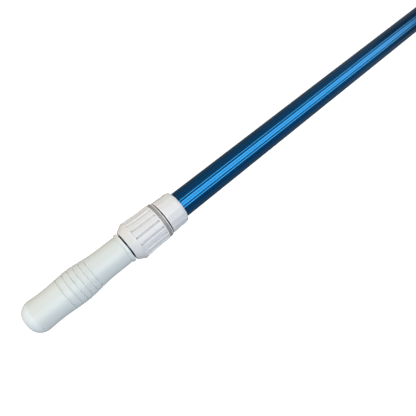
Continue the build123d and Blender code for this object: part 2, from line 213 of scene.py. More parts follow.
floor_material, tree, output = new_material("white paper")
path = tree.nodes.new("ShaderNodeLightPath")
seen_or_not = tree.nodes.new("ShaderNodeMixShader")
reflected_or_not = tree.nodes.new("ShaderNodeMixShader")
tree.links.new(path.outputs["Is Glossy Ray"], reflected_or_not.inputs["Fac"])
tree.links.new(paper(tree, (0.55, 0.55, 0.55, 1.0), 0.0), reflected_or_not.inputs[1])
tree.links.new(paper(tree, (0.05, 0.05, 0.05, 1.0), 0.12), reflected_or_not.inputs[2])
tree.links.new(path.outputs["Is Camera Ray"], seen_or_not.inputs["Fac"])
tree.links.new(reflected_or_not.outputs[0], seen_or_not.inputs[1])
tree.links.new(paper(tree, (0.6, 0.6, 0.6, 1.0), 0.72), seen_or_not.inputs[2])
tree.links.new(seen_or_not.outputs[0], output.inputs["Surface"])

mesh = bmesh.new()
bmesh.ops.create_grid(mesh, x_segments=1, y_segments=1, size=floor_reach)
bmesh.ops.translate(mesh, verts=mesh.verts, vec=(0.0, 0.0, floor_height))
floor_data = bpy.data.meshes.new("floor")
mesh.to_mesh(floor_data)
mesh.free()
floor_data.materials.append(floor_material)
floor = bpy.data.objects.new("floor", floor_data)
bpy.context.scene.collection.objects.link(floor)

world = bpy.data.worlds.new("room")
bpy.context.scene.world = world
world.use_nodes = True
world_tree = world.node_tree
world_tree.nodes.clear()
world_path = world_tree.nodes.new("ShaderNodeLightPath")
room_level = add_node(world_tree, "ShaderNodeMapRange")
room_level.inputs["To Min"].default_value = 0.26      # what lights the pole
room_level.inputs["To Max"].default_value = 0.10      # what the pole mirrors
background = add_node(world_tree, "ShaderNodeBackground", Color=(0.70, 0.88, 1.0, 1.0))
white = add_node(world_tree, "ShaderNodeBackground", Color=(1.0, 1.0, 1.0, 1.0), Strength=1.0)
pick = world_tree.nodes.new("ShaderNodeMixShader")
world_output = world_tree.nodes.new("ShaderNodeOutputWorld")
world_tree.links.new(world_path.outputs["Is Glossy Ray"], room_level.inputs["Value"])
world_tree.links.new(room_level.outputs[0], background.inputs["Strength"])
world_tree.links.new(world_path.outputs["Is Camera Ray"], pick.inputs["Fac"])
world_tree.links.new(background.outputs[0], pick.inputs[1])
world_tree.links.new(white.outputs[0], pick.inputs[2])
world_tree.links.new(pick.outputs[0], world_output.inputs["Surface"])
print(f"floor at {floor_height / MM:.1f} mm")

# %% [markdown]
# ## Shared effects
#
# Four effects come back in several finishes: a moulded skin, ageing with dirt and painted shade in the
# creases, drawn lines, and scuffed edges that on the plastics also carry a painted highlight. Each is a
# node group with its own inputs, built once and placed in each material with other values, which keeps
# the materials short. The groups give out only colours, masks and heights, and the shader stays in the
# material.

# %% Build the moulded skin


def new_group(name, inputs, outputs):
    """Shader node group whose sockets are given as name: default, and outputs as name: type."""
    group = bpy.data.node_groups.new(name, "ShaderNodeTree")
    for socket_name, default in inputs.items():
        kind = "NodeSocketColor" if isinstance(default, tuple) else "NodeSocketFloat"
        socket = group.interface.new_socket(name=socket_name, in_out="INPUT", socket_type=kind)
        socket.default_value = default
    for socket_name, kind in outputs.items():
        group.interface.new_socket(name=socket_name, in_out="OUTPUT", socket_type=kind)
    entry = group.nodes.new("NodeGroupInput")
    leave = group.nodes.new("NodeGroupOutput")
    return group, entry.outputs, leave.inputs


def maths(tree, operation, first, second):
    """Math node on two sockets or numbers, returning its output."""
    node = add_node(tree, "ShaderNodeMath", operation=operation)
    for socket, value in zip(node.inputs, (first, second)):
        if isinstance(value, (int, float)):
            socket.default_value = value
        else:
            tree.links.new(value, socket)
    return node.outputs[0]


def noise(tree, vector, scale, detail=3.0, roughness=0.5):
    """Noise texture on a vector socket, returning its height."""
    node = add_node(tree, "ShaderNodeTexNoise", noise_dimensions="3D")
    node.inputs["Detail"].default_value = detail
    node.inputs["Roughness"].default_value = roughness
    if isinstance(scale, (int, float)):
        node.inputs["Scale"].default_value = scale
    else:
        tree.links.new(scale, node.inputs["Scale"])
    tree.links.new(vector, node.inputs["Vector"])
    return node.outputs[0]


def ramp(tree, value, low, high):
    """0 to 1 as a socket's value goes from low to high, also when high is the smaller one."""
    node = add_node(tree, "ShaderNodeMapRange")
    node.inputs["From Min"].default_value = low
    node.inputs["From Max"].default_value = high
    tree.links.new(value, node.inputs["Value"])
    return node.outputs[0]


FLOAT = "NodeSocketFloat"
COLOUR = "NodeSocketColor"

skin, given, result = new_group(
    "moulded skin",
    {"Grain": 2200.0, "Roughness": 0.45, "Variation": 0.12},
    {"Height": FLOAT, "Roughness": FLOAT},
)
place = skin.nodes.new("ShaderNodeTexCoord").outputs["Object"]
grain = noise(skin, place, given["Grain"], 2.0, 0.6)
cloud = noise(skin, place, 45.0, 3.0, 0.55)
centred = maths(skin, "SUBTRACT", cloud, 0.5)
scaled = maths(skin, "MULTIPLY", centred, given["Variation"])
skin.links.new(maths(skin, "ADD", scaled, given["Roughness"]), result["Roughness"])
skin.links.new(grain, result["Height"])
print("group:", skin.name)

# %% [markdown]
# White plastic near a pool doesn't stay one white. It yellows in slow patches and holds a little dirt
# in its creases, and the same darkening also paints the shade that falls into grooves and flutes. The
# patches are a soft noise, and the creases come from the mesh itself: Pointiness is low where the
# surface folds inwards, so no crease mask has to be drawn.

# %% Build the ageing and the painted crease shade
ageing_and_crease_shade, given, result = new_group(
    "ageing_and_crease_shade",
    {
        "Clean": (0.8, 0.8, 0.8, 1.0),
        "Yellowed": (0.75, 0.7, 0.6, 1.0),
        "Dirt_and_shade": (0.3, 0.29, 0.27, 1.0),
        "Yellowing": 0.3,
        "Crease": 0.5,
    },
    {"Color": COLOUR},
)
place = ageing_and_crease_shade.nodes.new("ShaderNodeTexCoord").outputs["Object"]
patches = ramp(ageing_and_crease_shade, noise(ageing_and_crease_shade, place, 28.0, 4.0, 0.55), 0.35, 0.75)
amount = maths(ageing_and_crease_shade, "MULTIPLY", patches, given["Yellowing"])
tinted = add_node(ageing_and_crease_shade, "ShaderNodeMix", data_type="RGBA")
ageing_and_crease_shade.links.new(amount, tinted.inputs["Factor"])
ageing_and_crease_shade.links.new(given["Clean"], tinted.inputs["A"])
ageing_and_crease_shade.links.new(given["Yellowed"], tinted.inputs["B"])
shape = ageing_and_crease_shade.nodes.new("ShaderNodeNewGeometry")
# Creases: real dirt together with painted shade, darker where grooves and flutes fall into shadow.
folds = ramp(ageing_and_crease_shade, shape.outputs["Pointiness"], 0.49, 0.43)
speckle = noise(ageing_and_crease_shade, place, 600.0, 3.0, 0.6)
crease_dirt_and_shade = maths(ageing_and_crease_shade, "MULTIPLY", folds, maths(ageing_and_crease_shade, "ADD", speckle, 0.4))
crease_dirt_and_shade = maths(ageing_and_crease_shade, "MULTIPLY", crease_dirt_and_shade, given["Crease"])
dirt_and_shade_mix = add_node(ageing_and_crease_shade, "ShaderNodeMix", data_type="RGBA")
ageing_and_crease_shade.links.new(crease_dirt_and_shade, dirt_and_shade_mix.inputs["Factor"])
ageing_and_crease_shade.links.new(tinted.outputs["Result"], dirt_and_shade_mix.inputs["A"])
ageing_and_crease_shade.links.new(given["Dirt_and_shade"], dirt_and_shade_mix.inputs["B"])
ageing_and_crease_shade.links.new(dirt_and_shade_mix.outputs["Result"], result["Color"])
print("group:", ageing_and_crease_shade.name)

# %% [markdown]
# An extruded and drawn tube carries fine lines along its length, scratched by the die. Stretching a
# noise along X makes them: its scale is thousands across the pole and only a few along it. The same
# pattern drives the roughness and the depth of the dye, so the lines show in every light.
#
# Edges that hands and floors scuff lose their colour first, on metal and on plastic. On the plastics
# the paler edge is also a painted highlight, standing in for the light caught by groove shoulders and
# facet edges. Pointiness finds them too, because it is high where the surface folds outwards, and a
# noise breaks the mask up so that no edge changes evenly.

# %% Build the drawn lines and the scuffed, highlighted edges
drawn, given, result = new_group(
    "drawn lines",
    {"Fineness": 1400.0, "Roughness": 0.2, "Variation": 0.1},
    {"Height": FLOAT, "Roughness": FLOAT, "Tone": FLOAT},
)
place = drawn.nodes.new("ShaderNodeTexCoord").outputs["Object"]
stretch = add_node(drawn, "ShaderNodeMapping")
stretch.inputs["Scale"].default_value = (0.004, 1.0, 1.0)
drawn.links.new(place, stretch.inputs["Vector"])
lines = noise(drawn, stretch.outputs[0], given["Fineness"], 4.0, 0.65)
handled = noise(drawn, place, 14.0, 3.0, 0.6)
both = maths(
    drawn, "ADD", maths(drawn, "MULTIPLY", lines, 0.6), maths(drawn, "MULTIPLY", handled, 0.4)
)
spread = maths(drawn, "MULTIPLY", maths(drawn, "SUBTRACT", both, 0.5), given["Variation"])
drawn.links.new(maths(drawn, "ADD", spread, given["Roughness"]), result["Roughness"])
drawn.links.new(lines, result["Height"])
drawn.links.new(both, result["Tone"])

wear_and_sheen, given, result = new_group("worn edges", {"Amount": 0.5, "Grain": 900.0}, {"Mask": FLOAT})
place = wear_and_sheen.nodes.new("ShaderNodeTexCoord").outputs["Object"]
shape = wear_and_sheen.nodes.new("ShaderNodeNewGeometry")
# Edge mask: wear, and on the plastics also a painted highlight on groove shoulders and facet edges.
edges = ramp(wear_and_sheen, shape.outputs["Pointiness"], 0.51, 0.58)
chips = ramp(wear_and_sheen, noise(wear_and_sheen, place, given["Grain"], 3.0, 0.6), 0.35, 0.55)
chipped_and_sheen = maths(wear_and_sheen, "MULTIPLY", edges, chips)
wear_and_sheen.links.new(maths(wear_and_sheen, "MULTIPLY", chipped_and_sheen, given["Amount"]), result["Mask"])
print("groups:", drawn.name, "and", wear_and_sheen.name)

# %% [markdown]
# ## Finishes of plastic and rubber
#
# The handle, the lock and the cap are injection moulded, so they share one recipe: a slightly grained
# satin skin, some yellowing, dirt and painted shade in the creases, and another colour on scuffed
# edges. One function makes them all, and only the colours and amounts differ: the handle leans to
# grey-green, the cap to blue, the lock to lavender, and the rubber is nearly matt. Edges are paler
# than the rest, partly wear and partly a painted highlight, but for the cap's, which are darker.

# %% Mix the plastics and rubbers


def place_group(tree, group, **values):
    """Group node with its inputs filled."""
    node = tree.nodes.new("ShaderNodeGroup")
    node.node_tree = group
    for name, value in values.items():
        node.inputs[name].default_value = value
    return node


def wear_and_sheen_edges(tree, colour, edge, amount, grain):
    """Colour socket that turns to the edge colour along scuffed edges, which on the plastics is also a
    painted highlight.
    """
    rub = place_group(tree, wear_and_sheen, Amount=amount, Grain=grain)
    rubbed_and_sheen = add_node(tree, "ShaderNodeMix", data_type="RGBA")
    rubbed_and_sheen.inputs["B"].default_value = (*edge, 1.0)
    tree.links.new(rub.outputs["Mask"], rubbed_and_sheen.inputs["Factor"])
    tree.links.new(colour, rubbed_and_sheen.inputs["A"])
    return rubbed_and_sheen.outputs["Result"]


def add_bump(tree, height, shader, depth):
    """Relief of the given depth in metres on a shader."""
    bump = add_node(tree, "ShaderNodeBump")
    bump.inputs["Strength"].default_value = 1.0
    bump.inputs["Distance"].default_value = depth
    tree.links.new(height, bump.inputs["Height"])
    tree.links.new(bump.outputs[0], shader.inputs["Normal"])


def moulded(name, clean, yellowed, edge, yellowing, crease_dirt_and_shade, roughness, grain=2200.0, depth=2e-6):
    """Injection-moulded plastic or rubber, whose grain is depth metres deep."""
    material, tree, output = new_material(name)
    shader = tree.nodes.new("ShaderNodeBsdfPrincipled")
    age = place_group(
        tree, ageing_and_crease_shade, Clean=(*clean, 1.0), Yellowed=(*yellowed, 1.0), Yellowing=yellowing, Crease=crease_dirt_and_shade
    )
    surface = place_group(tree, skin, Grain=grain, Roughness=roughness, Variation=0.14)
    rubbed_and_sheen = wear_and_sheen_edges(tree, age.outputs["Color"], edge, amount=2.0, grain=500.0)
    tree.links.new(rubbed_and_sheen, shader.inputs["Base Color"])
    tree.links.new(surface.outputs["Roughness"], shader.inputs["Roughness"])
    add_bump(tree, surface.outputs["Height"], shader, depth)
    tree.links.new(shader.outputs[0], output.inputs["Surface"])
    print("finish:", name)
    return material


# The crease amounts paint shade into grooves and flutes, and the pale edge colours paint highlights.
grip_plastic = moulded(
    "grip plastic", (0.56, 0.60, 0.61), (0.57, 0.57, 0.53), (0.84, 0.88, 0.88), 0.35, 1.7, 0.32
)
cap_plastic = moulded(
    "cap plastic", (0.60, 0.65, 0.685), (0.60, 0.635, 0.65), (0.52, 0.56, 0.58), 0.25, 0.8, 0.36
)
lock_plastic = moulded(
    "lock plastic", (0.61, 0.61, 0.635), (0.61, 0.59, 0.56), (0.86, 0.86, 0.88), 0.35, 2.2, 0.22
)
rubber_skin = {"grain": 1500.0, "depth": 6e-6}
grey_rubber = moulded(
    "grey rubber", (0.26, 0.245, 0.245), (0.36, 0.34, 0.32), (0.42, 0.40, 0.40), 0.6, 0.8, 0.5,
    **rubber_skin,
)
black_rubber = moulded(
    "black rubber", (0.02, 0.02, 0.022), (0.05, 0.05, 0.05), (0.06, 0.06, 0.06), 0.5, 0.2, 0.6,
    **rubber_skin,
)
bearing_plastic = moulded(
    "bearing plastic", (0.82, 0.80, 0.74), (0.78, 0.73, 0.60), (0.88, 0.87, 0.82), 0.4, 0.5, 0.32
)
plug_plastic = moulded(
    "plug plastic", (0.03, 0.03, 0.032), (0.07, 0.07, 0.07), (0.09, 0.09, 0.09), 0.4, 0.2, 0.45
)

# %% [markdown]
# ## Finishes of metal
#
# Anodising grows a hard clear layer on aluminium and the dye sits inside it. That is a coloured metal
# under a clear coat: the coat gives the pale shine at the sides and the metal gives the blue. The
# dye is a little thinner where the die left lines, and rubbed edges show lighter metal.

# %% Mix the metals


def anodised(name, deep, pale, edge, roughness, wear):
    """Anodised aluminium, dyed between a deep and a pale tone, with scuffed edges in the edge colour."""
    material, tree, output = new_material(name)
    shader = tree.nodes.new("ShaderNodeBsdfPrincipled")
    shader.inputs["Metallic"].default_value = 1.0
    shader.inputs["Coat Weight"].default_value = 0.4
    shader.inputs["Coat Roughness"].default_value = 0.12
    surface = place_group(tree, drawn, Fineness=1400.0, Roughness=roughness, Variation=0.16)
    tone = add_node(tree, "ShaderNodeMix", data_type="RGBA")
    tone.inputs["A"].default_value = (*deep, 1.0)
    tone.inputs["B"].default_value = (*pale, 1.0)
    tree.links.new(surface.outputs["Tone"], tone.inputs["Factor"])
    rubbed_and_sheen = wear_and_sheen_edges(tree, tone.outputs["Result"], edge, amount=wear, grain=900.0)
    tree.links.new(rubbed_and_sheen, shader.inputs["Base Color"])
    tree.links.new(surface.outputs["Roughness"], shader.inputs["Roughness"])
    add_bump(tree, surface.outputs["Height"], shader, 4e-6)
    tree.links.new(shader.outputs[0], output.inputs["Surface"])
    print("finish:", name)
    return material


blue_anodised = anodised(
    "blue anodised", (0.004, 0.145, 0.36), (0.008, 0.195, 0.46), (0.30, 0.45, 0.62), 0.20, 0.15
)
navy_anodised = anodised(
    "navy anodised", (0.003, 0.014, 0.04), (0.005, 0.024, 0.065), (0.16, 0.21, 0.28), 0.18, 0.2
)
rivet_aluminium = anodised(
    "rivet aluminium", (0.66, 0.66, 0.67), (0.78, 0.78, 0.79), (0.9, 0.9, 0.9), 0.30, 0.5
)

# %% [markdown]
# ## A lathe
#
# Nearly every piece of the pole is round, so the lesson needs a lathe. An outline is drawn once as
# (place, radius) points, a corner may carry a third number that rounds it, and the spin operator turns
# it about the pole's axis. Ribs, flutes and facets are cut afterwards by pushing the turned vertices
# in, which keeps an even mesh that smooth shading likes, where a boolean would leave long slivers.

# %% Make the lathe


def rounded(outline, steps=4):
    """Closed outline of (x, r) or (x, r, rounding) points, with short edges for each rounding."""
    corners = [Vector(point[:2]) for point in outline]
    points = []
    for index, point in enumerate(outline):
        corner = corners[index]
        if len(point) < 3:
            points.append(corner)
            continue
        to_last = (corners[index - 1] - corner).normalized()
        to_next = (corners[(index + 1) % len(corners)] - corner).normalized()
        half = to_last.angle(to_next) / 2
        reach = point[2] / tan(half)
        middle = corner + (to_last + to_next).normalized() * (point[2] / sin(half))
        first = corner + to_last * reach - middle
        last = corner + to_next * reach - middle
        for step in range(steps + 1):
            turn = first.lerp(last, step / steps)
            points.append(middle + turn.normalized() * point[2])
    return points


def arc_through(first, middle, last, steps):
    """Points of the circle's arc that passes through three (x, r) points, without the first."""
    ax, ay = first
    bx, by = middle[0] - ax, middle[1] - ay
    cx, cy = last[0] - ax, last[1] - ay
    double = 2 * (bx * cy - by * cx)
    ux = (cy * (bx * bx + by * by) - by * (cx * cx + cy * cy)) / double
    uy = (bx * (cx * cx + cy * cy) - cx * (bx * bx + by * by)) / double
    radius = hypot(ux, uy)
    start = atan2(-uy, -ux)
    end = atan2(cy - uy, cx - ux)
    turn = (end - start + pi) % (2 * pi) - pi
    angles = [start + turn * step / steps for step in range(1, steps + 1)]
    return [(ax + ux + radius * cos(a), ay + uy + radius * sin(a)) for a in angles]


def turn_on_lathe(outline, steps, phase=0.0):
    """Solid of revolution about X from a closed outline in millimetres."""
    mesh = bmesh.new()
    ring = [mesh.verts.new((x * MM, 0.0, r * MM)) for x, r in outline]
    edges = [mesh.edges.new((a, b)) for a, b in zip(ring, ring[1:] + ring[:1])]
    bmesh.ops.rotate(mesh, verts=ring, cent=(0, 0, 0), matrix=Matrix.Rotation(phase, 3, "X"))
    bmesh.ops.spin(
        mesh, geom=ring + edges, cent=(0, 0, 0), axis=(1, 0, 0), angle=2 * pi, steps=steps, use_merge=True
    )
    bmesh.ops.remove_doubles(mesh, verts=mesh.verts, dist=1e-7)
    bmesh.ops.recalc_face_normals(mesh, faces=mesh.faces)
    return mesh


def push(mesh, new_radius):
    """Move each vertex to new_radius(x, angle, radius). Angles run from the top towards -Y."""
    for vertex in mesh.verts:
        radius = hypot(vertex.co.y, vertex.co.z) / MM
        if radius > 1e-3:
            angle = atan2(-vertex.co.y, vertex.co.z)
            factor = new_radius(vertex.co.x / MM, angle, radius) / radius
            vertex.co.y *= factor
            vertex.co.z *= factor


def finish_piece(name, mesh, material, body, replaced, sharp):
    """Object from a finished bmesh, smooth but for edges over sharp degrees, riding on its body."""
    bmesh.ops.recalc_face_normals(mesh, faces=mesh.faces)
    data = bpy.data.meshes.new(name)
    mesh.to_mesh(data)
    mesh.free()
    data.shade_smooth()
    data.set_sharp_from_angle(angle=radians(sharp))
    data.materials.append(material)
    piece = bpy.data.objects.new(name, data)
    bpy.context.scene.collection.objects.link(piece)
    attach(piece, body)
    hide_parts(*replaced)
    print(f"{name}: {len(data.polygons)} faces")
    return piece


def from_centre(angle, pitch, phase):
    """Angle from the middle of the nearest repeat of a pattern that has one middle at phase."""
    return (angle - phase + pitch / 2) % pitch - pitch / 2


print("lathe ready")

# %% [markdown]
# ## The handle
#
# The handle is a soft-looking but hard plastic sleeve, fullest in the middle where the fingers close.
# Six rings are cut into it, each with a slightly raised bead on its front side, and a shallow neck ends
# in a rounded lip at the front. A bezier curve could draw the swelling, but grooves would then have to
# be placed on it by eye. Here the curve is a chain of cubic pieces through a few radii, written as a
# function, so that each groove knows the height it starts from.

# %% Draw and turn the handle
grip_stations = [  # place from the cap's joint, radius, slope
    (0.0, inner_radius + 3.95, -0.045),
    (17.0, inner_radius + 3.5, 0.018),
    (46.2, inner_radius + 5.25, 0.0),
    (75.0, inner_radius + 2.8, -0.028),
    (102.2, inner_radius + 2.75, 0.0),
]
lip_width = 2.8
lip_radius = inner_radius + 4.0
grip_bore = inner_radius + 0.05
groove_count = 5
groove_pitch = 6.1
groove_first = 42.1             # from the open end
last_band = 7.4                 # from the fifth groove to the sixth
groove_width = 1.3
groove_depth = 0.65
wall_lean = 0.08                # of a groove's steep side
bead_height = 0.4
bead_width = 1.2
after_bead = 1.3                # from a groove's front side to the next free point
neck_width = 1.4
neck_depth = 0.3
handle_steps = 160              # round the handle and its cap
handle_sharp = 50.0
point_step = 1.6                # between the outline's points on the smooth parts
point_room = 2.4                # that such a point needs before a groove


def grip_radius(place):
    """Radius of the handle's smooth surface at a place counted from the cap's joint."""
    for (x0, r0, m0), (x1, r1, m1) in zip(grip_stations, grip_stations[1:]):
        if place <= x1:
            break
    t = (place - x0) / (x1 - x0)
    run = x1 - x0
    return (
        (2 * t**3 - 3 * t**2 + 1) * r0
        + (t**3 - 2 * t**2 + t) * run * m0
        + (3 * t**2 - 2 * t**3) * r1
        + (t**3 - t**2) * run * m1
    )


grip_length = x_grip_end - x_grip_start
groove_places = [grip_length - groove_first - groove_pitch * n for n in range(groove_count)]
groove_places.append(groove_places[-1] - last_band)
groove_places.sort()

neck_place = grip_length - lip_width - neck_width
grip_outline = [(x_grip_start, grip_bore), (x_grip_start, grip_radius(0.0), 0.25)]
place = 0.0
for stop in groove_places + [neck_place]:
    while place + point_room < stop - groove_width:
        place += point_step
        grip_outline.append((x_grip_start + place, grip_radius(place)))
    if stop in groove_places:
        wall = stop - groove_width / 2
        shoulder = stop + groove_width / 2
        groove_floor = grip_radius(stop) - groove_depth
        grip_outline += [
            (x_grip_start + wall, grip_radius(wall), 0.12),
            (x_grip_start + wall + wall_lean, groove_floor, 0.1),
            (x_grip_start + stop + groove_width * 0.05, groove_floor, 0.1),
            (x_grip_start + shoulder, grip_radius(shoulder) + bead_height, 0.35),
            (x_grip_start + shoulder + bead_width, grip_radius(shoulder + bead_width)),
        ]
        place = shoulder + after_bead
grip_outline += [
    (x_grip_end - lip_width - neck_width, grip_radius(neck_place) - neck_depth, 0.5),
    (x_grip_end - lip_width, lip_radius, 0.6),
    (x_grip_end, lip_radius, 1.0),
    (x_grip_end, grip_bore, 0.25),
]
grip_mesh = turn_on_lathe(rounded(grip_outline), handle_steps)
finish_piece("hand_grip", grip_mesh, grip_plastic, "inner", ["grip"], handle_sharp)

# %% [markdown]
# The end cap closes the handle. Its rounded end is one arc of a circle that leaves a small flat, and
# its plug goes into the inner tube. A small vent on the joint lets the air out when the cap is pressed
# in. It isn't round about the pole's axis, so it can't be turned: a Boolean modifier drills it, and the
# same helper drills the holes of the rivets and of the spring clip later.

# %% Turn the end cap and drill its vent


def drill(piece, sharp, *cutters):
    """Subtract cutter meshes from a piece for good, and find its edges over sharp degrees again."""
    for number, cutter in enumerate(cutters):
        data = bpy.data.meshes.new("cutter")
        cutter.to_mesh(data)
        cutter.free()
        tool = bpy.data.objects.new("cutter", data)
        bpy.context.scene.collection.objects.link(tool)
        hole = piece.modifiers.new(f"hole {number}", "BOOLEAN")
        hole.operation = "DIFFERENCE"
        hole.solver = "EXACT"
        hole.object = tool
    bpy.context.view_layer.update()
    graph = bpy.context.evaluated_depsgraph_get()
    drilled = bpy.data.meshes.new_from_object(piece.evaluated_get(graph))
    drilled.set_sharp_from_angle(angle=radians(sharp))
    tools = [hole.object for hole in piece.modifiers]
    piece.modifiers.clear()
    piece.data = drilled
    for tool in tools:
        bpy.data.objects.remove(tool)
    print(f"{piece.name}: drilled, {len(drilled.polygons)} faces")


def cylinder(radius, length, place, direction, segments=24):
    """Cylinder in millimetres, with its middle at a place and its axis along a direction."""
    mesh = bmesh.new()
    bmesh.ops.create_cone(
        mesh,
        cap_ends=True,
        segments=segments,
        radius1=radius * MM,
        radius2=radius * MM,
        depth=length * MM,
    )
    turn = Vector((0, 0, 1)).rotation_difference(Vector(direction)).to_matrix()
    bmesh.ops.rotate(mesh, verts=mesh.verts, cent=(0, 0, 0), matrix=turn)
    bmesh.ops.translate(mesh, verts=mesh.verts, vec=Vector(place) * MM)
    return mesh


cap_face = 8.0                  # radius of the flat at the very end
cap_joint = inner_radius + 3.8
cap_wall = 4.0
spigot_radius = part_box("guide_plug")[1].z / MM - 1.2
spigot_bore = spigot_radius - 2.0
vent_radius = 0.75
vent_depth = 8.0
vent_angle = radians(45.0)

cap_bulge = (x_cap_end + 0.4 * (x_grip_start - x_cap_end), cap_joint - 2.7)
cap_outline = [(x_cap_end, 0.0), (x_cap_end, cap_face)]
cap_outline += arc_through((x_cap_end, cap_face), cap_bulge, (x_grip_start, cap_joint), 24)
cap_outline[-1] = (x_grip_start, cap_joint, 0.4)
cap_outline += [
    (x_grip_start, spigot_radius, 0.3),
    (x_spigot_end, spigot_radius, 0.6),
    (x_spigot_end, spigot_bore, 0.3),
    (x_grip_start, spigot_bore, 0.5),
    (x_cap_end + cap_wall, cap_face, 0.5),
    (x_cap_end + cap_wall, 0.0),
]
cap_mesh = turn_on_lathe(rounded(cap_outline), handle_steps)
end_cap = finish_piece(
    "end_cap", cap_mesh, cap_plastic, "inner", ["grip_end_cap"], handle_sharp
)
outwards = Vector((0.0, -sin(vent_angle), cos(vent_angle)))
vent_place = Vector((x_grip_start, 0, 0)) + outwards * cap_joint
drill(end_cap, handle_sharp, cylinder(vent_radius, vent_depth, vent_place, outwards))

# %% [markdown]
# ## The lock nut
#
# The nut is the piece that the hand turns: a cone at the front, a rim, and sixteen flutes between raised
# pads. Each flute looks as if a ball-ended tool had cut it, so it is a slot with round ends and a round
# bottom. Sixteen cutters and a boolean could do that too. Here the distance to the slot's middle line
# gives the depth at every vertex, which makes the ends round with no extra geometry. The mesh is finer
# where the flutes begin and end.
#
# The thread inside is one small profile spun along the pole as it turns, a ridge that starts and ends
# open, so its two ends are closed afterwards.

# %% Turn the nut and cut its flutes
nose_radius = inner_radius + 4.4
nose_bore = inner_radius + 0.3
rim_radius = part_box("lock_nut")[1].z / MM
cone_length = 8.7
rim_width = 1.2
pad_heights = (-0.2, -0.8, -1.1)          # from the rim: at the rim, a third of the way, at the far end
flute_depth = 1.8
flute_width = 3.0
flute_count = 16
flute_length = 31.3
flute_roundness = 0.6           # of its bottom: 0.5 is a half circle, 1.0 a parabola
steps_per_flute = 36
nut_sharp = 60.0
ring_floor = inner_radius + 6.6
flange_radius = inner_radius + 7.8
thread_root = inner_radius + 5.5
thread_lead = 3.0
thread_height = 1.0
thread_foot = 0.75              # half the ridge's width where it stands on the piece
thread_crest = 0.35             # and at its top
thread_sink = 0.1               # how far the ridge reaches into the piece
thread_steps = 48
nut_turns = 5
neck_turns = 7
collet_room = inner_radius + 3.5
cavity_step = x_neck - 1.8
washer_seat = x_nose + 4.0

x_rim = x_nose + cone_length
x_flutes = x_rim + rim_width
x_flutes_end = x_flutes + flute_length


def pad_radius(x):
    """Radius of the pads, a parabola through three heights."""
    t = (x - x_flutes) / flute_length
    near, third, far = pad_heights
    bend = 4.5 * (near - 1.5 * third + 0.5 * far)
    slope = far - near - bend
    return rim_radius + near + slope * t + bend * t * t


def flute_stations():
    """Places along the flutes, close together at both ends."""
    fine, coarse, run_out = 0.25, 2.5, 3.4
    places = [x_flutes + 0.15]
    while places[-1] < x_flutes_end - fine:
        near_end = min(places[-1] - x_flutes, x_flutes_end - places[-1] - coarse) < run_out
        places.append(places[-1] + (fine if near_end else coarse))
    return places


nut_outline = [
    (x_nose, nose_bore, 0.25),
    (x_nose, nose_radius, 0.5),
    (x_rim, rim_radius, 0.9),
    (x_flutes - 0.1, rim_radius, 0.2),
]
nut_outline += [(x, pad_radius(x)) for x in flute_stations()]
nut_outline += [
    (x_buffer - 0.7, pad_radius(x_flutes_end)),
    (x_buffer, pad_radius(x_flutes_end) - 0.05, 0.35),
    (x_buffer, ring_floor, 0.1),
    (x_buffer_end, ring_floor, 0.1),
    (x_buffer_end, flange_radius, 0.15),
    (x_nut_end, flange_radius, 0.2),
    (x_nut_end, thread_root, 0.3),
    (cavity_step, thread_root, 0.3),
    (cavity_step, collet_room, 0.3),
    (washer_seat, collet_room, 0.2),
    (washer_seat, nose_bore, 0.2),
]


def fluted(x, angle, radius):
    """The nut's surface with its flutes cut. Everything below the flange's radius stays."""
    if radius < flange_radius:
        return radius
    half = flute_width / 2
    sideways = radius * from_centre(angle, 2 * pi / flute_count, 0.0)
    beyond = max(x_flutes + half - x, x - (x_flutes_end - half), 0.0)
    depth = max(1 - (hypot(beyond, sideways) / half) ** 2, 0.0) ** flute_roundness
    return radius - flute_depth * depth


def add_thread(mesh, start, turns, root, height):
    """Right-hand thread ridge on a piece. A negative height points it inwards, as in a nut."""
    sunk = -thread_sink if height > 0 else thread_sink
    profile = [
        (-thread_foot, sunk), (thread_foot, sunk), (thread_crest, height), (-thread_crest, height)
    ]
    ridge = bmesh.new()
    corners = [ridge.verts.new(((start + x) * MM, 0.0, (root + r) * MM)) for x, r in profile]
    blank = ridge.faces.new(corners)
    bmesh.ops.spin(
        ridge,
        geom=corners + list(blank.edges) + [blank],
        cent=(0, 0, 0),
        axis=(1, 0, 0),
        dvec=(thread_lead * MM / thread_steps, 0, 0),
        angle=2 * pi * turns,
        steps=thread_steps * turns,
    )
    open_edges = [edge for edge in ridge.edges if edge.is_boundary]
    bmesh.ops.holes_fill(ridge, edges=open_edges, sides=4)
    data = bpy.data.meshes.new("ridge")
    ridge.to_mesh(data)
    ridge.free()
    mesh.from_mesh(data)
    bpy.data.meshes.remove(data)


neck_thread_start = x_neck + 2.8
nut_thread_start = neck_thread_start + 1.5 * thread_lead     # runs midway between the neck's turns
nut_mesh = turn_on_lathe(rounded(nut_outline), steps_per_flute * flute_count)
push(nut_mesh, fluted)
add_thread(nut_mesh, nut_thread_start, nut_turns, thread_root, -thread_height)
finish_piece("nut", nut_mesh, lock_plastic, "nut", ["lock_nut"], nut_sharp)

# %% [markdown]
# A grey rubber ring sits in the nut's own groove, between the flutes and the flange, and gives wet
# fingers some hold. It is a plain band with well-rounded shoulders and a shallow hollow along its
# middle. It could be a torus pressed flat, but turning its outline gives the shoulders directly.

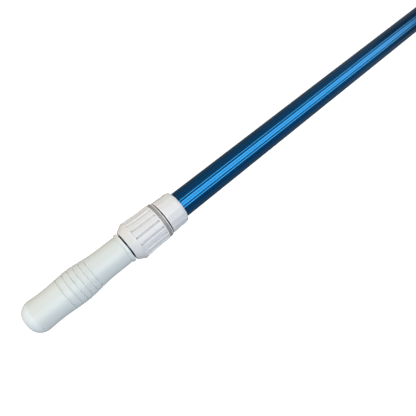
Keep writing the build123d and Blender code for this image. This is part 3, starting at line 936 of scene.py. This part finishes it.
# %% Turn the rubber ring
ring_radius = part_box("buffer_ring")[1].z / MM
ring_slack = 0.04
shoulder_drop = 0.05
hollow_depth = 0.25
hollow_reach = 1.0
ring_steps = 144
ring_sharp = 50.0
ring_middle = (x_buffer + x_buffer_end) / 2
ring_outline = [
    (x_buffer + ring_slack, ring_floor + ring_slack),
    (x_buffer + ring_slack, ring_radius - shoulder_drop, 0.6),
    (ring_middle - hollow_reach, ring_radius, 0.3),
    (ring_middle, ring_radius - hollow_depth, 0.6),
    (ring_middle + hollow_reach, ring_radius, 0.3),
    (x_buffer_end - ring_slack, ring_radius - shoulder_drop, 0.6),
    (x_buffer_end - ring_slack, ring_floor + ring_slack),
]
ring_mesh = turn_on_lathe(rounded(ring_outline), ring_steps)
finish_piece(
    "rubber_ring", ring_mesh, grey_rubber, "nut", ["buffer_ring"], ring_sharp
)

# %% [markdown]
# ## The collar
#
# The collar is fixed to the outer tube. Outside it has sixteen flat facets that taper towards the
# tube, inside it guides the inner tube, and its threaded neck reaches into the nut. A flat facet on a
# turned piece is simply a radius that can't exceed the facet's plane, so one min() cuts them all, and
# where the cone at the end crosses the facets it leaves the same scallops as on the real one.

# %% Turn the collar and mill its facets
collar_front = 20.9
collar_rear = 20.4
collar_end = 19.2
end_chamfer = 3.2
facet_count = 16
facet_edge = radians(5.0)
steps_per_facet = 16
collar_sharp = 40.0
neck_radius = inner_radius + 4.2
guide_bore = inner_radius + 0.08
barrel_room = inner_radius + 2.5
relief_bore = guide_bore + 0.6
tube_seat = 15.925
land = 6.0
seal_half = 0.75
seal_floor = neck_radius - 0.5
seat_slope = tan(radians(12.0))
seat_clearance = 0.3            # between the collet's cylinder and the barrel
collet_taper = 6.0
travel_room = 1.7               # a little more than the nut travels in half a turn
x_collar = x_nut_end + travel_room
x_taper = x_collet_end - collet_taper + travel_room
x_seat_mouth = x_taper - seat_clearance / seat_slope
x_land = x_taper + (barrel_room - seat_clearance - guide_bore) / seat_slope

taper_places = [x_collar + 1.0 + 1.5 * n for n in range(12)]
chamfer_steps = 14
collar_length = x_collar_end - x_collar


def collar_radius(x):
    """Radius over the facets' edges before the end is chamfered."""
    return collar_front + (collar_rear - collar_front) * (x - x_collar) / collar_length


collar_outline = [
    (x_neck, barrel_room, 0.3),
    (x_neck, neck_radius, 0.4),
    (x_seal - seal_half, neck_radius, 0.05),
    (x_seal - seal_half, seal_floor, 0.05),
    (x_seal + seal_half, seal_floor, 0.05),
    (x_seal + seal_half, neck_radius),
    (x_collar, neck_radius),
    (x_collar, collar_front - 0.4, 0.4),
]
x_chamfer = x_collar_end - end_chamfer
collar_outline += [(x, collar_radius(x)) for x in taper_places if x < x_chamfer - 0.3]
chamfer_radius = collar_radius(x_chamfer)
for step in range(chamfer_steps + 1):
    share = step / chamfer_steps
    x = x_collar_end - end_chamfer * (1 - share)
    collar_outline.append((x, chamfer_radius + (collar_end - chamfer_radius) * share))
collar_outline[-1] = (x_collar_end, collar_end, 0.15)
collar_outline += [
    (x_collar_end, tube_seat, 0.3),
    (x_tube, tube_seat),
    (x_tube, guide_bore),
    (x_tube - land, guide_bore),
    (x_tube - land, relief_bore),
    (x_land + land, relief_bore),
    (x_land + land, guide_bore),
    (x_land, guide_bore),
    (x_seat_mouth, barrel_room),
]


def faceted(x, angle, radius):
    """The collar's surface with its facets milled."""
    if x < x_collar or radius < neck_radius + 0.5:
        return radius
    pitch = 2 * pi / facet_count
    off_middle = from_centre(angle, pitch, facet_edge + pitch / 2)
    return min(radius, collar_radius(x) * cos(pitch / 2) / cos(off_middle))


collar_mesh = turn_on_lathe(rounded(collar_outline), steps_per_facet * facet_count, facet_edge)
push(collar_mesh, faceted)
add_thread(collar_mesh, neck_thread_start, neck_turns, neck_radius, thread_height)
collar = finish_piece(
    "collar", collar_mesh, lock_plastic, "outer", ["lock_collar"], collar_sharp
)

# %% [markdown]
# Two blind rivets hold the collar on the tube. Each lies in a flat-bottomed recess on one side, and its
# head is a shallow dome with the hollow that the pulled-off mandrel leaves. The recess and the rivet's
# hole are drilled with one stepped cutter, turned from an outline like everything else.

# %% Drill the recesses and set the rivets
rivet_inset = 10.0
rivet_place = x_collar_end - rivet_inset
shank_radius = 1.55
hole_radius = shank_radius + 0.05
head_radius = 2.9
head_height = 0.9
mandrel_hollow = 0.5
rivet_steps = 40
rivet_sharp = 40.0
head_floor = inner_radius + 5.15
shank_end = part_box("outer_tube")[1].y / MM - 1.2


def turned_sideways(outline, steps, side):
    """Piece turned about its own axis, then laid across the pole at the rivets' place."""
    mesh = turn_on_lathe(outline, steps)
    quarter = Matrix.Rotation(side * pi / 2, 3, "Z")
    bmesh.ops.rotate(mesh, verts=mesh.verts, cent=(0, 0, 0), matrix=quarter)
    bmesh.ops.translate(mesh, verts=mesh.verts, vec=(rivet_place * MM, 0, 0))
    return mesh


cutter_start, cutter_end = 13.0, 24.0       # inside the collar's bore and beyond its facets
recess = [
    (cutter_start, 0.0),
    (cutter_start, hole_radius),
    (head_floor, hole_radius),
    (head_floor, head_radius + 0.1),
    (cutter_end, head_radius + 0.1),
    (cutter_end, 0.0),
]
drill(collar, collar_sharp, *[turned_sideways(recess, rivet_steps, side) for side in (-1, 1)])

seat = head_floor + 0.05
rivet_outline = rounded([
    (shank_end, 0.0),
    (shank_end, shank_radius, 0.3),
    (seat, shank_radius, 0.1),
    (seat, head_radius, 0.1),
    (seat + 0.3, head_radius, 0.15),
    (seat + 0.7, head_radius * 0.6, 1.2),
    (seat + head_height - 0.05, 1.0, 0.2),
    (seat + head_height - mandrel_hollow, 0.8, 0.15),
    (seat + head_height - mandrel_hollow, 0.0),
])
rivet_mesh = turned_sideways(rivet_outline, rivet_steps, 1)
whole = rivet_mesh.verts[:] + rivet_mesh.edges[:] + rivet_mesh.faces[:]
other_side = bmesh.ops.duplicate(rivet_mesh, geom=whole)
copied = [item for item in other_side["geom"] if isinstance(item, bmesh.types.BMVert)]
bmesh.ops.rotate(
    rivet_mesh, verts=copied, cent=(rivet_place * MM, 0, 0), matrix=Matrix.Rotation(pi, 3, "Z")
)
finish_piece(
    "rivets", rivet_mesh, rivet_aluminium, "outer", ["collar_rivets"], rivet_sharp
)

# %% [markdown]
# ## The ribbed tube
#
# The outer tube is extruded with twenty-four low convex ribs, which give wet hands some hold. Across the
# tube each rib is an arc of a much smaller circle than the tube, so it mirrors a wide part of the room
# and draws a bright line of its own. The radius of such an arc, seen from the tube's axis, is one line
# of trigonometry, so the ribs are pushed into a turned tube like the flutes were. Two drills then cut
# the holes for a tool's spring clip near the mouth and for the collar's rivets.

# %% Turn the tube and shape its ribs
tube_radius = 15.875
rib_depth = 0.26
rib_count = 24
rib_phase = radians(2.5)
tube_wall = 1.25
tube_bore = tube_radius - tube_wall
socket_bore = 14.8
socket_depth = 110.0
clip_inset = 38.0
clip_radius = 3.25
rivet_margin = 8.0              # between a rivet hole's middle and the rings beside it
clip_margin = 10.0              # and the same for a clip hole
steps_per_rib = 16
tube_sharp = 22.0
rib_pitch = 2 * pi / rib_count

foot = tube_radius - rib_depth
half_chord = foot * sin(rib_pitch / 2)
rib_height = tube_radius - foot * cos(rib_pitch / 2)
rib_curve = (half_chord**2 + rib_height**2) / (2 * rib_height)
rib_centre = tube_radius - rib_curve


def ribbed(x, angle, radius):
    """The tube's surface with its ribs. The bore stays round."""
    if radius < tube_bore + 0.5 * tube_wall:
        return radius
    off_middle = from_centre(angle, rib_pitch, rib_phase + rib_pitch / 2)
    sideways = rib_centre * sin(off_middle)
    over = rib_centre * cos(off_middle) + sqrt(rib_curve**2 - sideways**2)
    return over - (tube_radius - radius)


tube_outline = [
    (x_tube, tube_bore),
    (x_tube, tube_radius),
    (rivet_place - rivet_margin, tube_radius),
    (rivet_place + rivet_margin, tube_radius),
    (-clip_inset - clip_margin, tube_radius),
    (-clip_inset + clip_margin, tube_radius),
    (x_mouth, tube_radius, 0.25),
    (x_mouth, socket_bore, 0.15),
    (-clip_inset + clip_margin, socket_bore),
    (-clip_inset - clip_margin, socket_bore),
    (-socket_depth, socket_bore),
    (-socket_depth - 0.3, tube_bore),
]
tube_mesh = turn_on_lathe(rounded(tube_outline), steps_per_rib * rib_count, rib_phase)
push(tube_mesh, ribbed)
ribbed_tube = finish_piece(
    "ribbed_tube", tube_mesh, blue_anodised, "outer", ["outer_tube"], tube_sharp
)
drill_length = 60.0             # right through the tube
drill(
    ribbed_tube,
    tube_sharp,
    cylinder(clip_radius, drill_length, (-clip_inset, 0, 0), (0, 0, 1), 48),
    cylinder(hole_radius, drill_length, (rivet_place, 0, 0), (0, 1, 0)),
)

# %% [markdown]
# ## The pieces that stay
#
# What lies inside the lock and the tubes has the right shape already: its edges are crisp machined or
# moulded ones, and most of it shows only when the pole is pulled out. A piece of the model keeps its
# mesh, and only the finish in its material slot changes.

# %% Give the model's own pieces their finishes
kept_finishes = {
    "inner_tube": navy_anodised,
    "wiper_ring": black_rubber,
    "thrust_washer": bearing_plastic,
    "collet": bearing_plastic,
    "neck_seal": black_rubber,
    "guide_plug": plug_plastic,
    "guide_rings": bearing_plastic,
    "plug_rivets": rivet_aluminium,
}
for node_name, finish in kept_finishes.items():
    for slot in nodes[node_name].material_slots:
        slot.material = finish
    print(f"{node_name}: {finish.name}")

# %% [markdown]
# ## Measure and finish
#
# The looks may not change the size of the object, and the box of the model is printed.

# %% Print the model's box
print("model box:", [round(value, 4) for corner in cad_box for value in corner])
